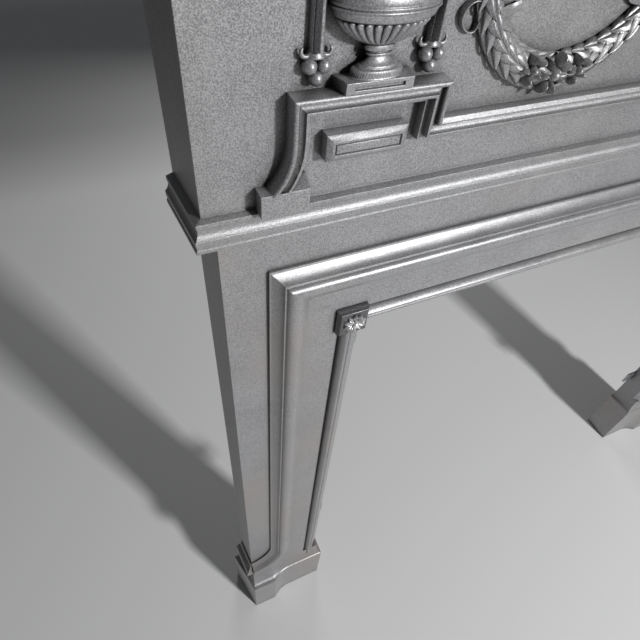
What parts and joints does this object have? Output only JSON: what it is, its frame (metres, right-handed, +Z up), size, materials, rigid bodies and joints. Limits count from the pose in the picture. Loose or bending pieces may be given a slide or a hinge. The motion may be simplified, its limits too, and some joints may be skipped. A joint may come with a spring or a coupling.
{
  "type": "fireplace surround",
  "caption": "Cast iron fireplace surround with mitred bolection legs on shaped plinths, a frieze of urns and wreaths on moulded pedestals, and a narrow mantel shelf.",
  "frame": {"origin": "bottom centre of the bounding box, on the hearth, midway between the wall plane and the shelf's front edge", "axes": "+X along the shelf to the right seen from the room, +Y into the wall, +Z up"},
  "size_m": [1.39, 0.14, 1.298],
  "materials": {
    "black_iron": "black-leaded, satin sheen",
    "polished_iron": "polished",
    "fixing_steel": "dull zinc"
  },
  "bodies": {
    "root": {"left_leg": "black_iron", "right_leg": "black_iron", "header": "black_iron", "frieze": "black_iron", "left_frieze_return": "black_iron", "right_frieze_return": "black_iron", "shelf": "black_iron", "left_urn": "black_iron", "right_urn": "black_iron", "left_urn_drops": "black_iron", "right_urn_drops": "black_iron", "left_wreath": "black_iron", "centre_wreath": "black_iron", "right_wreath": "black_iron", "left_corner_rosette": "polished_iron", "right_corner_rosette": "polished_iron", "rosette_screws": "fixing_steel", "left_corner_plate": "fixing_steel", "right_corner_plate": "fixing_steel", "corner_plate_screws": "fixing_steel", "frieze_bolts": "fixing_steel", "frieze_nuts": "fixing_steel", "frieze_upper_washers": "fixing_steel", "frieze_lower_washers": "fixing_steel", "return_screws": "fixing_steel", "shelf_screws": "fixing_steel", "shelf_washers": "fixing_steel", "urn_screws": "fixing_steel", "drop_screws": "fixing_steel", "wreath_screws": "fixing_steel", "wall_lugs": "fixing_steel", "lug_screws": "fixing_steel"}
  },
  "joints": []
}
